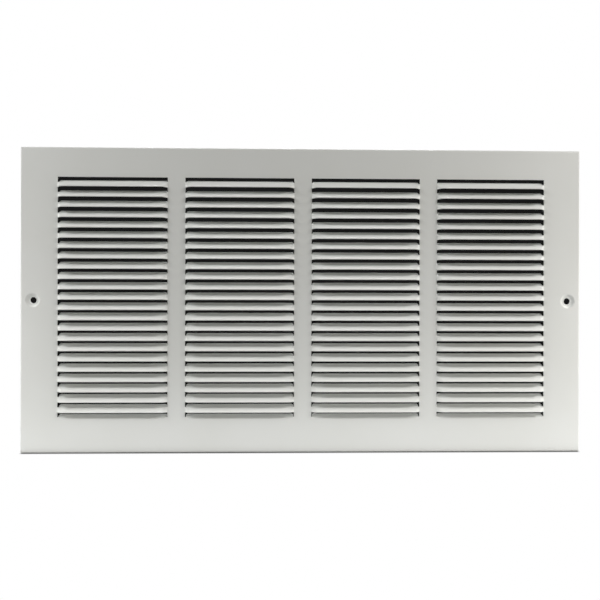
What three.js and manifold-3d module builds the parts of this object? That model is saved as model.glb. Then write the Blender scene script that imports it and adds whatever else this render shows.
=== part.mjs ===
// Return-air grille: one pressing in white coated steel sheet, for a nominal 16 x 8 inch duct opening.
// The sheet carries four banks of lanced louvres, a turned-back rim and two dished screw seats.
// The pressing is held here as its formed zones, each one a closed solid that butts against the next.
//
// Frame, in millimetres: +X to the right seen from the room, +Z up, +Y into the wall.
// The origin is the middle of the wall plane, on which the rear edge of the rim rests.

import * as THREE from "three";
import { mergeVertices } from "three/addons/utils/BufferGeometryUtils.js";
import Module from "manifold-3d";

const wasm = await Module();
wasm.setup();

// Face and sheet
const FACE_WIDTH = 452;
const FACE_HEIGHT = 245.6;
const SHEET = 0.7;

// Rim: the edge of the sheet turned back towards the wall
const RIM_DEPTH = 6;
const BEND_RADIUS = 1.5; // outside of the bend
const BEND_STEPS = 4;

// Plain margins round the louvres, and the strips between the banks
const TOP_MARGIN = 23.8;
const BOTTOM_MARGIN = 26.5; // the least: what the louvre pitch leaves over is added to it
const SIDE_MARGIN = 29.3;
const MULLION_WIDTH = 13.8;
const BANK_COUNT = 4;
const BANK_BORDER = 2; // flat strip round a bank that belongs to the bank

// Louvres: blades between straight cuts, upper edge pressed back and lower edge pressed forward
const LOUVRE_PITCH = 8.21;
const BLADE_STANDOUT = 3.1; // lower edge, in front of the face
const BLADE_RECESS = 3.6; // rear of the upper edge, behind the face
const BLADE_DROP = 2.8; // rear of the upper edge, below the cut above it
const BLADE_RISE = 0.65; // front of the lower edge, above the cut below it
const END_NOTCH = 4; // height cut free at each end of a blade
const END_TAPER = 6.5; // length over which a blade twists out of the sheet
const LIP_HEIGHT = 5.6; // the lip under the last cut, which is only pressed back
const LIP_RECESS = 3.6;
const LIP_DROP = 2;
const JOIN_DEPTH = 0.5; // how far blade ends, lip and dish run into the sheet round them

// Screw seats, half-way up the side margins
const SCREW_HOLE_DIAMETER = 5;
const SEAT_DIAMETER = 7.4; // flat ring at the bottom of the dish
const DISH_DIAMETER = 12;
const DISH_DEPTH = 1.2;
const SCREW_EDGE_DISTANCE = 9.9; // hole centre to the side of the grille
const PATCH_HEIGHT = 24; // length of side margin that belongs to the seat
const ROUND_STEPS = 32;

const FACE_Y = -RIM_DEPTH;
const HALF_WIDTH = FACE_WIDTH / 2;
const HALF_HEIGHT = FACE_HEIGHT / 2;
const FLAT_HALF_WIDTH = HALF_WIDTH - BEND_RADIUS;
const FLAT_HALF_HEIGHT = HALF_HEIGHT - BEND_RADIUS;

const FIELD_LEFT = SIDE_MARGIN - HALF_WIDTH;
const SLOT_LENGTH = (FACE_WIDTH - 2 * SIDE_MARGIN - (BANK_COUNT - 1) * MULLION_WIDTH) / BANK_COUNT;
const FIRST_CUT = HALF_HEIGHT - TOP_MARGIN;
const CUT_ROOM = FACE_HEIGHT - TOP_MARGIN - BOTTOM_MARGIN - LIP_HEIGHT;
const BLADE_COUNT = Math.floor(CUT_ROOM / LOUVRE_PITCH);
const LAST_CUT = FIRST_CUT - BLADE_COUNT * LOUVRE_PITCH;
const BANK_TOP = FIRST_CUT + BANK_BORDER;
const BANK_BOTTOM = LAST_CUT - LIP_HEIGHT - BANK_BORDER;

const grille = new THREE.Group();

function coatedSteel() {
  return new THREE.MeshStandardMaterial({ color: "#dfe0da", roughness: 0.42, metalness: 0 });
}

function addPiece(name, geometry, x = 0, y = 0, z = 0) {
  const piece = new THREE.Mesh(geometry, coatedSteel());
  piece.name = name;
  piece.position.set(x, y, z);
  grille.add(piece);
}

// A closed solid through sections, each a list of points in the same order round the same outline.
function loft(sections, outline) {
  const count = outline.length;
  const points = sections.flat();
  const faces = [];
  for (let s = 0; s < sections.length - 1; s++) {
    for (let i = 0; i < count; i++) {
      const a = s * count + i;
      const b = s * count + ((i + 1) % count);
      faces.push(a, b, b + count, a, b + count, a + count);
    }
  }
  const last = (sections.length - 1) * count;
  for (const [a, b, c] of THREE.ShapeUtils.triangulateShape(outline, [])) {
    faces.push(a, c, b);
    faces.push(last + a, last + b, last + c);
  }
  const geometry = new THREE.BufferGeometry().setFromPoints(points);
  geometry.setIndex(faces);
  return geometry;
}

// A flat outline in X and Z, as sheet with its front on the face of the grille.
function flatSheet(shape) {
  const geometry = new THREE.ExtrudeGeometry(shape, {
    depth: SHEET,
    bevelEnabled: false,
    curveSegments: ROUND_STEPS,
  });
  return geometry.rotateX(Math.PI / 2).translate(0, FACE_Y + SHEET, 0);
}

function rectangle(left, right, bottom, top, PathType = THREE.Shape) {
  return new PathType([
    new THREE.Vector2(left, bottom),
    new THREE.Vector2(right, bottom),
    new THREE.Vector2(right, top),
    new THREE.Vector2(left, top),
  ]);
}

function asSolid(geometry) {
  const bare = geometry.clone().deleteAttribute("normal").deleteAttribute("uv");
  const merged = mergeVertices(bare, 1e-4);
  const index = merged.index.array;
  const vertProperties = merged.attributes.position.array;
  return new wasm.Manifold(
    new wasm.Mesh({ numProp: 3, vertProperties, triVerts: new Uint32Array(index) }),
  );
}

function asGeometry(solid) {
  const mesh = solid.getMesh();
  const geometry = new THREE.BufferGeometry();
  geometry.setAttribute("position", new THREE.BufferAttribute(mesh.vertProperties, 3));
  geometry.setIndex(new THREE.BufferAttribute(mesh.triVerts, 1));
  geometry.computeVertexNormals();
  return geometry;
}

// Margins

function addMargins() {
  const top = rectangle(-FLAT_HALF_WIDTH, FLAT_HALF_WIDTH, BANK_TOP, FLAT_HALF_HEIGHT);
  const bottom = rectangle(-FLAT_HALF_WIDTH, FLAT_HALF_WIDTH, -FLAT_HALF_HEIGHT, BANK_BOTTOM);
  addPiece("top_margin", flatSheet(top));
  addPiece("bottom_margin", flatSheet(bottom));
}

// Each side margin has plain sheet above and below the patch with the screw seat: a shallow dish
// with a flat ring round the hole.
function screwSeat(left, right, holeX) {
  const patch = rectangle(left, right, -PATCH_HEIGHT / 2, PATCH_HEIGHT / 2);
  const opening = new THREE.Path();
  opening.absarc(holeX, 0, DISH_DIAMETER / 2, 0, 2 * Math.PI);
  patch.holes.push(opening);
  const profile = [
    [DISH_DIAMETER / 2 + JOIN_DEPTH, 0],
    [DISH_DIAMETER / 2 + JOIN_DEPTH, SHEET],
    [DISH_DIAMETER / 2, SHEET],
    [SEAT_DIAMETER / 2, DISH_DEPTH + SHEET],
    [SCREW_HOLE_DIAMETER / 2, DISH_DEPTH + SHEET],
    [SCREW_HOLE_DIAMETER / 2, DISH_DEPTH],
    [SEAT_DIAMETER / 2, DISH_DEPTH],
    [DISH_DIAMETER / 2, 0],
    [DISH_DIAMETER / 2 + JOIN_DEPTH, 0],
  ].map(([radius, depth]) => new THREE.Vector2(radius, depth));
  const dish = new THREE.LatheGeometry(profile, ROUND_STEPS).translate(holeX, FACE_Y, 0);
  return asGeometry(asSolid(flatSheet(patch)).add(asSolid(dish)));
}

function addSides() {
  for (const [name, side] of [["left", -1], ["right", 1]]) {
    const edges = [side * FLAT_HALF_WIDTH, side * (HALF_WIDTH - SIDE_MARGIN + BANK_BORDER)];
    const [left, right] = edges.sort((a, b) => a - b);
    const upper = rectangle(left, right, PATCH_HEIGHT / 2, BANK_TOP);
    const lower = rectangle(left, right, BANK_BOTTOM, -PATCH_HEIGHT / 2);
    addPiece(name + "_margin_upper", flatSheet(upper));
    addPiece(name + "_margin_lower", flatSheet(lower));
    addPiece(name + "_screw_seat", screwSeat(left, right, side * (HALF_WIDTH - SCREW_EDGE_DISTANCE)));
  }
}

// Rim: four folded flanges, mitred where they meet at the corners

function flangeProfile() {
  const centre = new THREE.Vector2(BEND_RADIUS, FACE_Y + BEND_RADIUS);
  const profile = new THREE.Shape();
  profile.moveTo(SHEET, 0);
  profile.lineTo(0, 0);
  profile.absarc(centre.x, centre.y, BEND_RADIUS, Math.PI, 1.5 * Math.PI, false);
  profile.absarc(centre.x, centre.y, BEND_RADIUS - SHEET, 1.5 * Math.PI, Math.PI, true);
  return profile.extractPoints(BEND_STEPS).shape;
}

function addFlanges() {
  const profile = flangeProfile();
  // A flange along one side: every point of the profile stops on the corner's mitre plane.
  function flange(halfLength, place) {
    const ends = [-1, 1].map((end) => profile.map((p) => place(end * (halfLength - p.x), p.x, p.y)));
    return loft(ends, profile);
  }
  const along = (side) => (s, inset, y) => new THREE.Vector3(side * s, y, side * (HALF_HEIGHT - inset));
  const up = (side) => (s, inset, y) => new THREE.Vector3(side * (HALF_WIDTH - inset), y, -side * s);
  addPiece("top_flange", flange(HALF_WIDTH, along(1)));
  addPiece("bottom_flange", flange(HALF_WIDTH, along(-1)));
  addPiece("right_flange", flange(HALF_HEIGHT, up(1)));
  addPiece("left_flange", flange(HALF_HEIGHT, up(-1)));
}

// Mullions

function addMullions() {
  for (let i = 1; i < BANK_COUNT; i++) {
    const left = FIELD_LEFT + i * SLOT_LENGTH + (i - 1) * MULLION_WIDTH + BANK_BORDER;
    const right = left + MULLION_WIDTH - 2 * BANK_BORDER;
    addPiece("mullion_" + i, flatSheet(rectangle(left, right, BANK_BOTTOM, BANK_TOP)));
  }
}

// Louvre banks

// Sections of a blade or lip from end to end: flat where it joins the border, full form between.
function acrossSlot(flat, full) {
  const stations = [
    [-JOIN_DEPTH, flat],
    [0, flat],
    [END_TAPER, full],
    [SLOT_LENGTH - END_TAPER, full],
    [SLOT_LENGTH, flat],
    [SLOT_LENGTH + JOIN_DEPTH, flat],
  ];
  const sections = stations.map(([x, section]) =>
    section.map((p) => new THREE.Vector3(x, FACE_Y + p.x, p.y)),
  );
  return loft(sections, full);
}

// Sections are (distance behind the face, height) and run up the back and down the front.
function blade(cutAbove, cutBelow) {
  const flat = [
    new THREE.Vector2(0, cutBelow),
    new THREE.Vector2(SHEET, cutBelow),
    new THREE.Vector2(SHEET, cutAbove - END_NOTCH),
    new THREE.Vector2(0, cutAbove - END_NOTCH),
  ];
  const lower = new THREE.Vector2(-BLADE_STANDOUT, cutBelow + BLADE_RISE);
  const upperBack = new THREE.Vector2(BLADE_RECESS, cutAbove - BLADE_DROP);
  const chord = upperBack.clone().sub(lower).normalize();
  const through = new THREE.Vector2(chord.y, -chord.x).multiplyScalar(SHEET);
  const upper = upperBack.clone().sub(through);
  const full = [lower, lower.clone().add(through), upperBack, upper];
  return acrossSlot(flat, full);
}

function lip() {
  const foot = LAST_CUT - LIP_HEIGHT;
  function section(recess) {
    return [
      new THREE.Vector2(0, foot - JOIN_DEPTH),
      new THREE.Vector2(SHEET, foot - JOIN_DEPTH),
      new THREE.Vector2(SHEET, foot),
      new THREE.Vector2(recess, LAST_CUT - LIP_DROP),
      new THREE.Vector2(recess - SHEET, LAST_CUT - LIP_DROP),
      new THREE.Vector2(0, foot),
    ];
  }
  const flat = section(SHEET);
  const full = section(LIP_RECESS);
  return acrossSlot(flat, full);
}

function louvreBank() {
  const border = rectangle(-BANK_BORDER, SLOT_LENGTH + BANK_BORDER, BANK_BOTTOM, BANK_TOP);
  border.holes.push(rectangle(0, SLOT_LENGTH, LAST_CUT - LIP_HEIGHT, FIRST_CUT, THREE.Path));
  let bank = asSolid(flatSheet(border)).add(asSolid(lip()));
  for (let i = 0; i < BLADE_COUNT; i++) {
    const cutAbove = FIRST_CUT - i * LOUVRE_PITCH;
    bank = bank.add(asSolid(blade(cutAbove, cutAbove - LOUVRE_PITCH)));
  }
  return asGeometry(bank);
}

function addBanks() {
  const geometry = louvreBank();
  for (let i = 0; i < BANK_COUNT; i++) {
    const left = FIELD_LEFT + i * (SLOT_LENGTH + MULLION_WIDTH);
    addPiece("louvre_bank_" + (i + 1), geometry, left, 0, 0);
  }
}

addMargins();
addSides();
addFlanges();
addMullions();
addBanks();

export default grille;
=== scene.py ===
"""Return-air grille: a white coated steel pressing with four banks of lanced louvres.

Laid out as an add-on: property groups hold the sizes and finishes, one operator makes each group of
pieces, and a panel in the 3D view's sidebar lists them. Everything is in metres, +Z up, with the wall
plane at Y = 0 and the room on the -Y side.
"""

import math
import random
from bisect import bisect_left

import bmesh
import bpy
from bpy.props import FloatProperty, FloatVectorProperty, PointerProperty
from mathutils import Matrix, Vector
from mathutils.geometry import interpolate_bezier


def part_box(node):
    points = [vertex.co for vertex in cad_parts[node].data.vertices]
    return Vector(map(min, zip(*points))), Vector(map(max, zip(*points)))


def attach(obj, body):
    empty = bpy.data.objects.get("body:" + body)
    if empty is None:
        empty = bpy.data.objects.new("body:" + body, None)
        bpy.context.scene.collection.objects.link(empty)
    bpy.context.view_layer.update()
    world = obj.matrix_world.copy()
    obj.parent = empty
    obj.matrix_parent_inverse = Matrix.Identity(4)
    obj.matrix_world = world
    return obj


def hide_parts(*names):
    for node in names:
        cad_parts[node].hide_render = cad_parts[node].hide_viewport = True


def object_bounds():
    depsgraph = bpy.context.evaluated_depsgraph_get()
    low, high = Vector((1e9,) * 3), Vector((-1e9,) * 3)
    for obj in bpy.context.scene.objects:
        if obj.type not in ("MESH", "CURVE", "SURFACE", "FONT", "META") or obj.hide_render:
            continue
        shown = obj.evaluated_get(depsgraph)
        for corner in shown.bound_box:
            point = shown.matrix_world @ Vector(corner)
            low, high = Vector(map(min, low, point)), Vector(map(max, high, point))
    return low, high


bl_info = {
    "name": "Louvred air grille",
    "version": (1, 0, 0),
    "blender": (4, 5, 0),
    "location": "View3D > Sidebar > Grille",
    "description": "Builds a pressed steel return-air grille round its packed frame",
    "category": "Object",
}

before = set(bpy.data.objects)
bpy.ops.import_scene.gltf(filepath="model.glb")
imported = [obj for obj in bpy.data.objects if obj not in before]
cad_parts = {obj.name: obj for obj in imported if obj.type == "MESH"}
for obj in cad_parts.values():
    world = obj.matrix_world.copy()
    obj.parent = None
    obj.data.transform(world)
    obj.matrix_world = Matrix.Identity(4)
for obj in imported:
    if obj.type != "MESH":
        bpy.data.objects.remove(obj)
CAD_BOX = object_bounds()

MM = 0.001
MARGINS = (
    "top_margin",
    "bottom_margin",
    "left_margin_upper",
    "left_margin_lower",
    "right_margin_upper",
    "right_margin_lower",
)
MULLIONS = tuple(sorted(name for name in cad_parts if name.startswith("mullion_")))
BANKS = tuple(sorted(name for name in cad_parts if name.startswith("louvre_bank_")))
SEATS = ("left_screw_seat", "right_screw_seat")

FACE_LOW, FACE_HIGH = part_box("mullion_1")
FACE_Y = FACE_LOW.y
SHEET_THICKNESS = FACE_HIGH.y - FACE_LOW.y
BANK_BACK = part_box("louvre_bank_1")[1].y
RIM_LOW, RIM_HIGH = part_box("top_flange")


def linear(hex_colour):
    """Scene-linear RGB of an sRGB hex colour."""
    channels = [int(hex_colour[i : i + 2], 16) / 255 for i in (1, 3, 5)]
    return tuple(c / 12.92 if c <= 0.04045 else ((c + 0.055) / 1.055) ** 2.4 for c in channels)


# Sizes and finishes


def length(name, description, default, **limits):
    """A setting in metres."""
    return FloatProperty(
        name=name, description=description, default=default, unit="LENGTH", precision=5, **limits
    )


class SheetSettings(bpy.types.PropertyGroup):
    """Sheet and rim"""

    thickness: length("Thickness", "Steel sheet with its coating", SHEET_THICKNESS, min=0.0003)
    edge_round: length("Edge rounding", "How far the coated cut edges bulge", 0.18 * MM, min=0)
    bend_radius: length("Bend radius", "Outside of the bend into the rim", 1.3 * MM, min=0.0008)
    corner_relief: length("Corner relief", "How far the rim stops short of a corner", 0.9 * MM, min=0)


class LouvreSettings(bpy.types.PropertyGroup):
    """Louvres"""

    pitch: length("Pitch", "From one cut to the next", 8.21 * MM, min=0.004)
    border: length("Border", "Flat strip of a bank round its cuts", 2 * MM, min=0.001)
    drop: length("Gap", "Upper edge of a blade, below the cut above it", 2.3 * MM, min=0)
    rise: length("Rise", "Lower edge of a blade, above the cut below it", 0.65 * MM, min=0)
    tilt: FloatProperty(
        name="Tilt", description="Blade, from upright", default=math.radians(43), subtype="ANGLE"
    )
    flare_tilt: FloatProperty(
        name="Flare", description="Lower edge, from upright", default=math.radians(64), subtype="ANGLE"
    )
    flare_length: length("Flare length", "Reach of the flare at the lower edge", 1.9 * MM, min=0)
    notch: length("End notch", "Height cut free at each end of a blade", 4 * MM, min=0.001)
    end_gap: length("End gap", "Width of the cut at each end of a blade", 0.9 * MM, min=0)
    taper: length("End taper", "Length over which a blade twists out of the sheet", 4.8 * MM, min=0.002)
    lip_height: length("Lip height", "The lip under the last cut", 5.6 * MM, min=0.002)
    lip_drop: length("Lip gap", "Upper edge of the lip, below the last cut", 2 * MM, min=0)
    lip_recess: length("Lip recess", "Upper edge of the lip, behind the face", 3 * MM, min=0)


class SeatSettings(bpy.types.PropertyGroup):
    """Screw seats"""

    hole_diameter: length("Hole", "Clear diameter of the screw hole", 5 * MM, min=0.002)
    ring_diameter: length("Ring", "Flat ring under the screw head", 7.4 * MM, min=0.003)
    dish_diameter: length("Dish", "Where the dish meets the face", 12 * MM, min=0.005)
    dish_depth: length("Depth", "Depth of the dish", 1.2 * MM, min=0)
    edge_distance: length("Edge distance", "Hole centre to the side", 9.9 * MM, min=0.007)


class CoatSettings(bpy.types.PropertyGroup):
    """Powder coat"""

    colour: FloatVectorProperty(
        name="Coat", description="Powder coat", default=linear("#e9ebe8"), subtype="COLOR", min=0, max=1
    )
    roughness: FloatProperty(name="Roughness", description="Satin sheen", default=0.38, min=0, max=1)
    peel: length("Peel", "Width of the coat's orange-peel ripples", 1.6 * MM, min=0.0002)


class StageSettings(bpy.types.PropertyGroup):
    """Stage"""

    white: FloatVectorProperty(
        name="Paper", description="Floor and surroundings", default=linear("#ffffff"), subtype="COLOR"
    )
    glow: FloatProperty(name="Glow", description="Light off the paper in front", default=0.93, min=0)
    light: FloatProperty(name="Light", description="All the lamps, as a share of full", default=1, min=0)
    camera_distance: length("Camera distance", "From the face of the grille", 420 * MM, min=0.1)
    focal_length: FloatProperty(name="Focal length", description="In millimetres", default=31.205)


SETTINGS = {
    "grille_sheet": SheetSettings,
    "grille_louvres": LouvreSettings,
    "grille_seats": SeatSettings,
    "grille_coat": CoatSettings,
    "grille_stage": StageSettings,
}


# Materials

# Height of the orange-peel ripples
PEEL_HEIGHT = 0.012 * MM
# The sheet is never quite flat: it waves this wide and this deep
WAVE_WIDTH = 38 * MM
WAVE_HEIGHT = 0.25 * MM
# The film's thickness drifts over this width, and a thin film is a little darker and warmer
DRIFT_WIDTH = 60 * MM
THIN_FILM = (0.97, 0.97, 0.96)
# The roughness goes this far either way with the ripples
SHEEN_SPREAD = 0.03
# Nearly all of a noise texture lies between these
NOISE_LOW, NOISE_HIGH = 0.3, 0.7


def add_node(tree, kind, links=None, **settings):
    """Add a shader node. links maps its inputs, by name or number, to output sockets or plain values."""
    node = tree.nodes.new(kind)
    for name, value in settings.items():
        setattr(node, name, value)
    for name, value in (links or {}).items():
        if isinstance(value, bpy.types.NodeSocket):
            tree.links.new(value, node.inputs[name])
        else:
            node.inputs[name].default_value = value
    return node


def powder_coated_steel(coat):
    """Polyester powder coat on steel sheet, sprayed and baked.

    The melt flows out into faint ripples, so the sheen is satin and breaks up slightly, and the colour
    is even apart from a very slow drift with the film's thickness.
    """
    name = "Powder-coated steel, satin white"
    made = bpy.data.materials.get(name)
    if made:
        return made
    material = bpy.data.materials.new(name)
    material.use_nodes = True
    tree = material.node_tree
    tree.nodes.clear()
    place = add_node(tree, "ShaderNodeTexCoord").outputs["Object"]
    ripple = add_node(
        tree,
        "ShaderNodeTexNoise",
        {"Vector": place, "Scale": 1 / coat.peel, "Detail": 2.0, "Roughness": 0.45},
    )
    waves = add_node(
        tree, "ShaderNodeTexNoise", {"Vector": place, "Scale": 1 / WAVE_WIDTH, "Detail": 1.0}
    )
    peel = add_node(
        tree,
        "ShaderNodeBump",
        {"Height": ripple.outputs["Fac"], "Distance": PEEL_HEIGHT, "Strength": 0.6},
    )
    flatness = add_node(
        tree,
        "ShaderNodeBump",
        {
            "Height": waves.outputs["Fac"],
            "Distance": WAVE_HEIGHT,
            "Strength": 0.5,
            "Normal": peel.outputs["Normal"],
        },
    )
    drift = add_node(
        tree, "ShaderNodeTexNoise", {"Vector": place, "Scale": 1 / DRIFT_WIDTH, "Detail": 3.0}
    )
    tint = add_node(tree, "ShaderNodeValToRGB", {"Fac": drift.outputs["Fac"]})
    thin, full = tint.color_ramp.elements
    thin.position = NOISE_LOW
    thin.color = (*(c * share for c, share in zip(coat.colour, THIN_FILM)), 1)
    full.position = NOISE_HIGH
    full.color = (*coat.colour, 1)
    sheen = add_node(
        tree,
        "ShaderNodeMapRange",
        {
            "Value": ripple.outputs["Fac"],
            "From Min": NOISE_LOW,
            "From Max": NOISE_HIGH,
            "To Min": coat.roughness - SHEEN_SPREAD,
            "To Max": coat.roughness + SHEEN_SPREAD,
        },
    )
    shader = add_node(
        tree,
        "ShaderNodeBsdfPrincipled",
        {
            "Base Color": tint.outputs["Color"],
            "Roughness": sheen.outputs["Result"],
            "Normal": flatness.outputs["Normal"],
            "IOR": 1.5,
        },
    )
    add_node(tree, "ShaderNodeOutputMaterial", {"Surface": shader.outputs["BSDF"]})
    return material


def lit_paper(stage, glow, contact=0.0):
    """White paper under its own strong light, so that it reads as pure white.

    Seen from above, it carries a painted contact shadow: ambient occlusion darkens its glow within the
    contact distance of whatever stands on it.
    """
    material = bpy.data.materials.new("Paper, lit white")
    material.use_nodes = True
    tree = material.node_tree
    tree.nodes.clear()
    colour = (*stage.white, 1)
    if contact:
        # Painted shade: ambient occlusion darkens the paper's glow near the grille, as a contact shadow
        near = add_node(tree, "ShaderNodeAmbientOcclusion", {"Color": colour, "Distance": contact})
        colour = near.outputs["Color"]
    paper = add_node(tree, "ShaderNodeEmission", {"Color": colour, "Strength": glow})
    add_node(tree, "ShaderNodeOutputMaterial", {"Surface": paper.outputs["Emission"]})
    return material


def painted_duct_shade():
    """Painted duct shade: a card behind the louvres that stands in for the shade inside the duct. It glows
    dark grey towards the room, and is clear from the duct's side.
    """
    material = bpy.data.materials.new("Duct shade, painted")
    material.use_nodes = True
    tree = material.node_tree
    tree.nodes.clear()
    behind = add_node(tree, "ShaderNodeNewGeometry").outputs["Backfacing"]
    # Painted shade: a near-black glow stands in for the shade inside the unlit duct
    painted_shade = add_node(tree, "ShaderNodeEmission", {"Color": (*linear("#181818"), 1), "Strength": 1.0})
    clear = add_node(tree, "ShaderNodeBsdfTransparent")
    mixed = add_node(
        tree,
        "ShaderNodeMixShader",
        {"Fac": behind, 1: painted_shade.outputs["Emission"], 2: clear.outputs["BSDF"]},
    )
    add_node(tree, "ShaderNodeOutputMaterial", {"Surface": mixed.outputs["Shader"]})
    return material


# Sheet forming

# Points that lie at the same tenth of a micrometre become one vertex
KEYS_PER_METRE = 1e7
# Within this distance of a piece's outline, a point counts as lying on it
TOUCHING = 1e-6
# Steps round a cut edge, from the front of the sheet to its back
EDGE_STEPS = 5
SHARP_ANGLE = math.radians(50)


def smoothstep(value):
    value = min(max(value, 0.0), 1.0)
    return value * value * (3 - 2 * value)


def beside_neighbours(low, high):
    """Make the test of whether a point lies on a piece's outline, where the next piece butts on."""

    def flush(co):
        return min(co.x - low.x, high.x - co.x, co.z - low.z, high.z - co.z) < TOUCHING

    return flush


class Surface:
    """The front of a sheet as it is formed, with one vertex for each place."""

    def __init__(self):
        self.mesh = bmesh.new()
        self.made = {}

    def vertex(self, x, y, z):
        key = tuple(round(c * KEYS_PER_METRE) for c in (x, y, z))
        if key not in self.made:
            self.made[key] = self.mesh.verts.new((x, y, z))
        return self.made[key]

    def rows(self, rows):
        """Quads between rows of points that run from left to right, from the bottom row up."""
        for lower, upper in zip(rows, rows[1:]):
            for i in range(len(lower) - 1):
                corners = [lower[i], lower[i + 1], upper[i + 1], upper[i]]
                kept = list(dict.fromkeys(self.vertex(*c) for c in corners))
                if len(kept) > 2:
                    self.mesh.faces.new(kept)


def thicken(surface, thickness, edge_round, flush):
    """Give a formed surface its thickness behind it.

    A boundary edge stays square where flush says that a neighbour butts against it. Every other one is
    rounded, as the coat leaves a cut edge.
    """
    mesh = surface.mesh
    mesh.normal_update()
    faces = list(mesh.faces)
    normals = {v: v.normal.copy() for v in mesh.verts}
    outward = {}
    rims = []
    for edge in mesh.edges:
        if not edge.is_boundary:
            continue
        loop = edge.link_loops[0]
        start, end = loop.vert, loop.link_loop_next.vert
        square = flush(start.co) and flush(end.co)
        rims.append((start, end, square))
        if not square:
            out = (end.co - start.co).normalized().cross(loop.face.normal)
            for v in (start, end):
                outward[v] = outward.get(v, Vector()) + out
    back = {v: mesh.verts.new(v.co - n * thickness) for v, n in normals.items()}
    rounded = {}
    for v, out in outward.items():
        ring = [v]
        for step in range(1, EDGE_STEPS):
            angle = math.pi * step / EDGE_STEPS
            across = normals[v] * (thickness / 2) * (math.cos(angle) - 1)
            bulge = out.normalized() * edge_round * math.sin(angle)
            ring.append(mesh.verts.new(v.co + across + bulge))
        ring.append(back[v])
        rounded[v] = ring
    for face in faces:
        mesh.faces.new([back[v] for v in reversed(face.verts)])
    for start, end, square in rims:
        first = [start, back[start]] if square else rounded[start]
        last = [end, back[end]] if square else rounded[end]
        for a, b, c, d in zip(last, first, first[1:], last[1:]):
            mesh.faces.new((a, b, c, d))


def finished(name, mesh, material, node):
    """Turn a closed bmesh into a smooth-shaded piece that stands for a CAD node."""
    data = bpy.data.meshes.new(name)
    mesh.normal_update()
    mesh.to_mesh(data)
    mesh.free()
    data.polygons.foreach_set("use_smooth", [True] * len(data.polygons))
    data.set_sharp_from_angle(angle=SHARP_ANGLE)
    data.materials.append(material)
    piece = bpy.data.objects.new(name, data)
    bpy.context.scene.collection.objects.link(piece)
    weighted = piece.modifiers.new("Weighted normals", "WEIGHTED_NORMAL")
    weighted.keep_sharp = True
    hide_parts(node)
    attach(piece, "root")


# Louvre banks

# Where the rows of points lie, as shares of a blade's joined height, its cut height and the lip's height
JOINED_SHARES = (0, 0.05, 0.11, 0.18, 0.28, 0.42, 0.58, 0.76, 0.9, 1)
FREE_SHARES = (0.15, 0.4, 0.7, 0.88, 1)
LIP_SHARES = (0, 0.08, 0.2, 0.4, 0.6, 0.8, 1)
# Where the columns of points lie, as shares of the taper at each end, and how many steps lie between
END_STATIONS = (0, 0.05, 0.12, 0.21, 0.33, 0.47, 0.63, 0.8, 1)
SPAN_STEPS = 6
CURVE_POINTS = 200
# Reach of a blade's flatter upper part along its curve, in thirds of the blade
BODY_REACH = 1.2
# The cut at a blade's end opens over its lowest part and widens again round the upper corner
OPENING_SHARE = 0.15
CORNER_SHARE = 0.2
# A blade's cut end leaves the sheet this many times sooner with height than with length
FREE_END_LEAD = 2.5
# The lip's fold line rises at its ends over this many tapers
FOLD_TAPERS = 1.25
# The lip bends a little more towards its upper edge
LIP_CURVE = 1.15
# Flat strip under the lip's fold
FOOT = 0.5 * MM
# Blades differ by this much in how far they stand out
WOBBLE = 0.06 * MM


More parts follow.
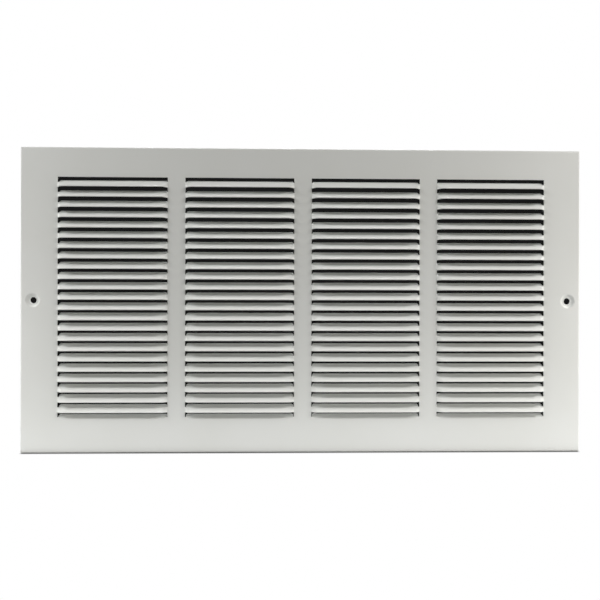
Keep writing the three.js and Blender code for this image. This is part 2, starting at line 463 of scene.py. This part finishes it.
class BankForm:
    """Works out where the sheet of one louvre bank lies."""

    def __init__(self, low, high, louvres):
        self.low, self.high, self.louvres = low, high, louvres
        self.left = low.x + louvres.border
        self.right = high.x - louvres.border
        self.first_cut = high.z - louvres.border
        height = high.z - low.z - 2 * louvres.border - louvres.lip_height
        self.count = round(height / louvres.pitch)
        self.last_cut = self.first_cut - self.count * louvres.pitch
        self.fold = self.last_cut - louvres.lip_height
        self.section = self.blade_section()

    def blade_section(self):
        """A blade's front, from its lower to its upper edge.

        Gives its points (behind the face, above the cut) and how far along it each of them lies.
        """
        louvres = self.louvres
        standout = FACE_Y - self.low.y
        recess = self.high.y - FACE_Y - SHEET_THICKNESS * math.cos(louvres.tilt)
        lower = Vector((-standout, louvres.rise, 0))
        upper = Vector((recess, louvres.pitch - louvres.drop, 0))
        flare = Vector((math.sin(louvres.flare_tilt), math.cos(louvres.flare_tilt), 0))
        body = Vector((math.sin(louvres.tilt), math.cos(louvres.tilt), 0))
        handle = (upper - lower).length / 3
        curve = interpolate_bezier(
            lower,
            lower + flare * louvres.flare_length,
            upper - body * handle * BODY_REACH,
            upper,
            CURVE_POINTS,
        )
        lengths = [0.0]
        for a, b in zip(curve, curve[1:]):
            lengths.append(lengths[-1] + (b - a).length)
        return [point.xy for point in curve], lengths

    def on_blade(self, share):
        """The point of the blade's section at a share of its length."""
        points, lengths = self.section
        wanted = share * lengths[-1]
        i = min(bisect_left(lengths, wanted, 1), len(lengths) - 1)
        part = (wanted - lengths[i - 1]) / (lengths[i] - lengths[i - 1])
        return points[i - 1].lerp(points[i], part)

    def stations(self, inset=0.0):
        """X of each station across the slot. The end ones start inset from the border."""
        taper = self.louvres.taper
        ends = [inset + share * (taper - inset) for share in END_STATIONS]
        span = self.right - self.left - 2 * taper
        middle = [taper + span * i / SPAN_STEPS for i in range(1, SPAN_STEPS)]
        whole = self.right - self.left
        return [*ends, *middle, *(whole - e for e in reversed(ends))]

    def end_inset(self, free):
        """How far a blade's end stands off the border, free being 0 to 1 up its cut end."""
        gap = self.louvres.end_gap * min(free / OPENING_SHARE, 1)
        corner = self.louvres.end_gap * max(free - (1 - CORNER_SHARE), 0) / CORNER_SHARE
        return gap + corner

    def place(self, x, free_height, flat, formed):
        """A point of the sheet between its flat and its formed place, by distance from where it joins."""
        from_end = min(x, self.right - self.left - x)
        distance = math.hypot(from_end, FREE_END_LEAD * free_height)
        held = max(1 - distance / self.louvres.taper, 0)
        share = 1 - held * held
        depth, height = flat.lerp(formed, share)
        return (self.left + x, FACE_Y + depth, height)

    def blade_rows(self, cut, wobble):
        """One blade, from the cut under it up to its free upper edge. wobble moves its lower edge."""
        louvres = self.louvres
        joined = 1 - louvres.notch / louvres.pitch
        shares = [(joined * a, 0.0) for a in JOINED_SHARES]
        shares += [(joined + (1 - joined) * f, f) for f in FREE_SHARES]
        rows = []
        for share, free in shares:
            flat = Vector((0, cut + share * louvres.pitch))
            formed = self.on_blade(share) + Vector((wobble * (1 - share), cut))
            inset = self.end_inset(free)
            free_height = free * louvres.notch
            rows.append([self.place(x, free_height, flat, formed) for x in self.stations(inset)])
        return rows

    def lip_rows(self):
        """From the foot of the bank's slot up to the lip's upper edge, over the curved fold line."""
        louvres = self.louvres
        whole = self.right - self.left
        reach = louvres.taper * FOLD_TAPERS
        top = self.last_cut - louvres.lip_drop
        rows = [[(self.left + x, FACE_Y, self.fold - FOOT) for x in self.stations()]]
        for share in LIP_SHARES:
            recess = louvres.lip_recess * share**LIP_CURVE
            row = []
            for x in self.stations(self.end_inset(share)):
                turn = math.pi / 2 * min(min(x, whole - x) / reach, 1)
                depth = louvres.notch + (louvres.lip_height - louvres.notch) * math.sin(turn)
                bottom = self.last_cut - depth
                flat = Vector((0, bottom + share * (self.last_cut - bottom)))
                formed = Vector((recess, bottom + share * (top - bottom)))
                row.append(self.place(x, share * louvres.notch, flat, formed))
            rows.append(row)
        return rows

    def border_levels(self):
        """Heights at which the border beside the slot has a vertex, the same as the blades have."""
        louvres = self.louvres
        joined = louvres.pitch - louvres.notch
        levels = [self.low.z, self.fold - FOOT, self.last_cut - louvres.notch]
        for i in range(self.count):
            cut = self.last_cut + i * louvres.pitch
            levels += [cut + joined * a for a in JOINED_SHARES]
        return [*levels, self.first_cut, self.high.z]

    def surface(self, seed):
        """The whole front: side borders, top border, foot and lip, then the blades from the top down."""
        dice = random.Random(seed)
        surface = Surface()
        levels = self.border_levels()
        for outer, inner in ((self.low.x, self.left), (self.right, self.high.x)):
            surface.rows([[(outer, FACE_Y, z), (inner, FACE_Y, z)] for z in levels])
        top = [self.first_cut, self.high.z]
        surface.rows([[(self.left, FACE_Y, z), (self.right, FACE_Y, z)] for z in top])
        lip = self.lip_rows()
        surface.rows([[(x, y, self.low.z) for x, y, z in lip[0]], *lip])
        for i in range(self.count):
            cut = self.first_cut - (i + 1) * self.louvres.pitch
            surface.rows(self.blade_rows(cut, dice.uniform(-WOBBLE, WOBBLE)))
        return surface


class GRILLE_OT_louvre_banks(bpy.types.Operator):
    """Press the louvre banks: blades twisted out between straight cuts, over a folded lip"""

    bl_idname = "grille.louvre_banks"
    bl_label = "Louvre banks"

    def execute(self, context):
        scene = context.scene
        sheet = scene.grille_sheet
        coat = powder_coated_steel(scene.grille_coat)
        for number, node in enumerate(BANKS):
            low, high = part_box(node)
            surface = BankForm(low, high, scene.grille_louvres).surface(number)
            thicken(surface, sheet.thickness, sheet.edge_round, beside_neighbours(low, high))
            finished("pressed_" + node, surface.mesh, coat, node)
        return {"FINISHED"}


# Screw seats

ROUND_STEPS = 72
DISH_STEPS = 8
# Extra rings of points: just outside the hole, past the middle of the flat ring, and round the dish
HOLE_BAND = 0.25 * MM
RING_SHIFT = 0.2 * MM
FACE_BAND = 0.3 * MM


def reach_to_outline(centre, low, high, across, up):
    """Distance from the centre to the box's outline in the direction (across, up)."""
    reaches = []
    if abs(across) > TOUCHING:
        reaches.append(((high.x if across > 0 else low.x) - centre.x) / across)
    if abs(up) > TOUCHING:
        reaches.append(((high.z if up > 0 else low.z) - centre.z) / up)
    return min(reaches)


class GRILLE_OT_screw_seats(bpy.types.Operator):
    """Press the dished screw seats into the side margins"""

    bl_idname = "grille.screw_seats"
    bl_label = "Screw seats"

    def execute(self, context):
        scene = context.scene
        sheet, seats = scene.grille_sheet, scene.grille_seats
        coat = powder_coated_steel(scene.grille_coat)
        for node in SEATS:
            low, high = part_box(node)
            side = 1 if low.x > 0 else -1
            x = side * (RIM_HIGH.x - seats.edge_distance)
            centre = Vector((x, FACE_Y, (low.z + high.z) / 2))
            surface = self.surface(seats, sheet.edge_round, centre, low, high)
            thicken(surface, sheet.thickness, sheet.edge_round, beside_neighbours(low, high))
            finished("pressed_" + node, surface.mesh, coat, node)
        return {"FINISHED"}

    @staticmethod
    def surface(seats, edge_round, centre, low, high):
        """Rings of points from the hole out over the flat ring, up the dish and across to the outline.

        The hole's ring is wider by the coat's bulge, so that the clear hole is as set.
        """
        hole = seats.hole_diameter / 2 + edge_round
        ring, dish = seats.ring_diameter / 2, seats.dish_diameter / 2
        slope = [ring + (dish - ring) * i / DISH_STEPS for i in range(DISH_STEPS + 1)]
        radii = [hole, hole + HOLE_BAND, (hole + ring) / 2 + RING_SHIFT, *slope, dish + FACE_BAND]
        angles = [2 * math.pi * i / ROUND_STEPS for i in range(ROUND_STEPS)]
        for x, z in ((low.x, low.z), (low.x, high.z), (high.x, low.z), (high.x, high.z)):
            corner = math.atan2(z - centre.z, x - centre.x) % (2 * math.pi)
            nearest = min(range(ROUND_STEPS), key=lambda i: abs(angles[i] - corner))
            angles[nearest] = corner
        ways = [(math.cos(a), math.sin(a)) for a in reversed([*angles, angles[0]])]
        rows = []
        for radius in radii:
            y = FACE_Y + seats.dish_depth * (1 - smoothstep((radius - ring) / (dish - ring)))
            rows.append([(centre.x + radius * across, y, centre.z + radius * up) for across, up in ways])
        outline = []
        for across, up in ways:
            reach = reach_to_outline(centre, low, high, across, up)
            outline.append((centre.x + reach * across, FACE_Y, centre.z + reach * up))
        surface = Surface()
        surface.rows([*rows, outline])
        return surface


# Rim

BEND_STEPS = 8
LEG_END_STEPS = 6


def flange_profile(sheet):
    """Closed outline (inset from the edge, depth): flat, round the bend, down the leg and back up.

    The leg's end is rounded by the coat and touches the wall plane.
    """
    radius, thickness = sheet.bend_radius, sheet.thickness
    flat_edge = RIM_HIGH.z - RIM_LOW.z
    centre = Vector((radius, FACE_Y + radius))
    outer, inner = [Vector((flat_edge, FACE_Y))], []
    for i in range(BEND_STEPS + 1):
        angle = math.pi / 2 * i / BEND_STEPS
        way = Vector((-math.sin(angle), -math.cos(angle)))
        outer.append(centre + way * radius)
        inner.append(centre + way * (radius - thickness))
    end = []
    for i in range(LEG_END_STEPS + 1):
        angle = math.pi * i / LEG_END_STEPS
        end.append(Vector((1 - math.cos(angle), math.sin(angle) - 1)) * (thickness / 2))
    return [*outer, *end, *reversed(inner), Vector((flat_edge, FACE_Y + thickness))]


class GRILLE_OT_rim(bpy.types.Operator):
    """Fold the rim back to the wall along the four sides, open a little at the corners"""

    bl_idname = "grille.rim"
    bl_label = "Rim"

    def execute(self, context):
        scene = context.scene
        coat = powder_coated_steel(scene.grille_coat)
        half_width, half_height = RIM_HIGH.x, RIM_HIGH.z
        sides = {
            "top_flange": (half_width, Vector((1, 0, 0)), Vector((0, 0, 1)), half_height),
            "bottom_flange": (half_width, Vector((-1, 0, 0)), Vector((0, 0, -1)), half_height),
            "right_flange": (half_height, Vector((0, 0, -1)), Vector((1, 0, 0)), half_width),
            "left_flange": (half_height, Vector((0, 0, 1)), Vector((-1, 0, 0)), half_width),
        }
        for node, (half_length, along, outward, reach) in sides.items():
            mesh = self.flange(scene.grille_sheet, half_length, along, outward, reach)
            finished("folded_" + node, mesh, coat, node)
        return {"FINISHED"}

    @staticmethod
    def flange(sheet, half_length, along, outward, reach):
        """Sweep the profile along one side, mitred where it is flat and relieved where it turns back."""
        profile = flange_profile(sheet)
        mesh = bmesh.new()
        rings = []
        for end in (-1, 1):
            ring = []
            for inset, depth in profile:
                turned = min((depth - FACE_Y) / sheet.bend_radius, 1)
                stop = max(inset, sheet.corner_relief * turned)
                place = along * end * (half_length - stop) + outward * (reach - inset)
                ring.append(mesh.verts.new((place.x, depth, place.z)))
            rings.append(ring)
        first, last = rings
        count = len(profile)
        for i in range(count):
            j = (i + 1) % count
            mesh.faces.new((first[i], first[j], last[j], last[i]))
        for ring in (list(reversed(first)), last):
            cap = mesh.faces.new(ring)
            bmesh.ops.triangulate(mesh, faces=[cap])
        bmesh.ops.recalc_face_normals(mesh, faces=mesh.faces)
        return mesh


# Flat sheet


class GRILLE_OT_flat_sheet(bpy.types.Operator):
    """Coat the flat margins and mullions, whose shape is the frame's own"""

    bl_idname = "grille.flat_sheet"
    bl_label = "Flat sheet"

    def execute(self, context):
        coat = powder_coated_steel(context.scene.grille_coat)
        for node in (*MARGINS, *MULLIONS):
            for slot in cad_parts[node].material_slots:
                slot.material = coat
        return {"FINISHED"}


# Stage

# The floor lies just under the grille, with a painted contact shadow only right beside it
FLOOR_GAP = 0.1 * MM
CONTACT_SHADOW = 2 * MM
PAPER_REACH = 600 * MM
# The strip of floor in front of the grille that throws light up at the blades
GLOW_REACH = 400 * MM
GLOW_FRONT = -120 * MM
GLOW_CLEARANCE = 3 * MM
# The card of painted duct shade stands clear of the blades and inside the rim
DUCT_SHADE_GAP = 1 * MM
DUCT_SHADE_INSET = 2 * MM
# The surround looks white, but lights the grille this little
SURROUND_LIGHT = 0.02
# The camera stands left of the grille's middle and above it, turned to the right, down and aslant
CAMERA_X = -10.77 * MM
CAMERA_Z = 1.15 * MM
CAMERA_YAW = math.radians(1.154)
CAMERA_PITCH = math.radians(-0.07)
CAMERA_ROLL = math.radians(0.135)
# In millimetres, as for a full-frame camera
SENSOR_WIDTH = 36

# Name, place, what it points at, width and height in metres, power in watts, colour
LAMPS = (
    ("left_high", (-0.75, -0.254, 0.544), (-0.15, 0, 0), (0.2, 0.15), 2.2, "#ffffff"),
    ("left_middle", (-0.75, -0.386, 0.460), (-0.15, 0, 0), (0.2, 0.15), 2.1, "#ffffff"),
    ("right_high", (0.75, -0.254, 0.544), (0.15, 0, 0), (0.2, 0.15), 1.4, "#ffffff"),
    ("right_middle", (0.75, -0.386, 0.460), (0.15, 0, 0), (0.2, 0.15), 2.6, "#ffffff"),
    ("right_far", (0.8, -0.5, 0.866), (0, 0, 0), (0.4, 0.3), 2.1, "#fff5ea"),
    ("left_low", (-0.38, -0.12, -0.04), (-0.16, 0, -0.04), (0.12, 0.12), 0.13, "#ffffff"),
    ("right_low", (0.38, -0.12, -0.04), (0.16, 0, -0.04), (0.12, 0.12), 0.16, "#ffffff"),
    ("middle_low", (0.08, -0.2, -0.09), (0.06, 0, -0.05), (0.12, 0.04), 0.03, "#ffffff"),
    ("left_warm", (-0.6, -0.2, -0.02), (-0.1, 0, 0), (0.2, 0.15), 0.12, "#ffe8c8"),
    ("right_warm", (0.6, -0.2, -0.02), (0.1, 0, 0), (0.2, 0.15), 0.26, "#ffe8c8"),
    ("behind", (0, 0.5, 0.4), (0, 0, 0), (0.6, 0.3), 4.8, "#ffffff"),
)


def add_lamp(share, name, place, target, size, power, colour):
    """Add a soft rectangular lamp that gives a share of its full power."""
    data = bpy.data.lights.new(name, "AREA")
    data.shape = "RECTANGLE"
    data.size, data.size_y = size
    data.energy = power * share
    data.color = linear(colour)
    lamp = bpy.data.objects.new(name, data)
    aim = Vector(target) - Vector(place)
    lamp.matrix_world = Matrix.Translation(place) @ aim.to_track_quat("-Z", "Y").to_matrix().to_4x4()
    lamp.visible_camera = False
    bpy.context.scene.collection.objects.link(lamp)


def add_card(name, corners, material):
    """Add a flat card that belongs to the stage and not to the grille."""
    data = bpy.data.meshes.new(name)
    data.from_pydata(corners, [], [(0, 1, 2, 3)])
    data.materials.append(material)
    card = bpy.data.objects.new(name, data)
    bpy.context.scene.collection.objects.link(card)
    return card


def level_corners(half, front, back, height):
    """Corners of a level card, from its front edge to its back edge."""
    return [(-half, front, height), (half, front, height), (half, back, height), (-half, back, height)]


def lights_nothing(card):
    """Let a card be seen, but neither light nor shade anything."""
    card.visible_diffuse = False
    card.visible_glossy = False
    card.visible_shadow = False


class GRILLE_OT_stage(bpy.types.Operator):
    """Set out the paper floor with its painted contact shadow, the card of painted duct shade, the soft
    lights and the camera
    """

    bl_idname = "grille.stage"
    bl_label = "Stage"

    def execute(self, context):
        stage = context.scene.grille_stage
        self.surroundings(context.scene, stage)
        for lamp in LAMPS:
            add_lamp(stage.light, *lamp)
        self.camera(context.scene, stage)
        return {"FINISHED"}

    @staticmethod
    def surroundings(scene, stage):
        floor = CAD_BOX[0][2] - FLOOR_GAP
        sheet = level_corners(PAPER_REACH, -PAPER_REACH, PAPER_REACH, floor)
        # The camera-only paper carries a painted contact shadow round the grille's foot
        lights_nothing(add_card("paper", sheet, lit_paper(stage, 1.0, CONTACT_SHADOW)))
        strip = level_corners(GLOW_REACH, GLOW_FRONT, FACE_Y - GLOW_CLEARANCE, floor - FLOOR_GAP)
        add_card("paper_glow", strip, lit_paper(stage, stage.glow)).visible_camera = False
        side, edge = RIM_HIGH.x - DUCT_SHADE_INSET, RIM_HIGH.z - DUCT_SHADE_INSET
        y = BANK_BACK + DUCT_SHADE_GAP
        corners = [(-side, y, -edge), (side, y, -edge), (side, y, edge), (-side, y, edge)]
        # Seen only by the camera, this card paints the duct's shade behind the slots
        lights_nothing(add_card("duct", corners, painted_duct_shade()))
        world = bpy.data.worlds.new("Paper surround")
        scene.world = world
        world.use_nodes = True
        tree = world.node_tree
        tree.nodes.clear()
        seen = add_node(tree, "ShaderNodeLightPath").outputs["Is Camera Ray"]
        level = add_node(
            tree, "ShaderNodeMapRange", {"Value": seen, "To Min": SURROUND_LIGHT, "To Max": 1.0}
        )
        sky = add_node(
            tree, "ShaderNodeBackground", {"Color": (*stage.white, 1), "Strength": level.outputs["Result"]}
        )
        add_node(tree, "ShaderNodeOutputWorld", {"Surface": sky.outputs["Background"]})
        scene.view_settings.view_transform = "Standard"

    @staticmethod
    def camera(scene, stage):
        data = bpy.data.cameras.new("camera")
        data.sensor_width = SENSOR_WIDTH
        data.lens = stage.focal_length
        camera = bpy.data.objects.new("camera", data)
        upright = math.radians(90)
        turn = (
            Matrix.Rotation(-CAMERA_YAW, 4, "Z")
            @ Matrix.Rotation(upright + CAMERA_PITCH, 4, "X")
            @ Matrix.Rotation(CAMERA_ROLL, 4, "Z")
        )
        place = Vector((CAMERA_X, FACE_Y - stage.camera_distance, CAMERA_Z))
        camera.matrix_world = Matrix.Translation(place) @ turn
        scene.collection.objects.link(camera)
        scene.camera = camera


class GRILLE_PT_panel(bpy.types.Panel):
    """Sizes, finishes and the buttons that build the grille"""

    bl_idname = "GRILLE_PT_panel"
    bl_label = "Louvred air grille"
    bl_space_type = "VIEW_3D"
    bl_region_type = "UI"
    bl_category = "Grille"

    def draw(self, context):
        for name, group in SETTINGS.items():
            box = self.layout.box()
            box.label(text=group.__doc__)
            for field in group.__annotations__:
                box.prop(getattr(context.scene, name), field)
        for operator in OPERATORS:
            self.layout.operator(operator.bl_idname)


OPERATORS = (
    GRILLE_OT_flat_sheet,
    GRILLE_OT_louvre_banks,
    GRILLE_OT_screw_seats,
    GRILLE_OT_rim,
    GRILLE_OT_stage,
)
CLASSES = (*SETTINGS.values(), *OPERATORS, GRILLE_PT_panel)


def register():
    for cls in CLASSES:
        bpy.utils.register_class(cls)
    for name, group in SETTINGS.items():
        setattr(bpy.types.Scene, name, PointerProperty(type=group))


def unregister():
    for name in SETTINGS:
        delattr(bpy.types.Scene, name)
    for cls in reversed(CLASSES):
        bpy.utils.unregister_class(cls)


def main():
    register()
    bpy.ops.grille.flat_sheet()
    bpy.ops.grille.louvre_banks()
    bpy.ops.grille.screw_seats()
    bpy.ops.grille.rim()
    bpy.ops.grille.stage()


if __name__ == "__main__":
    main()
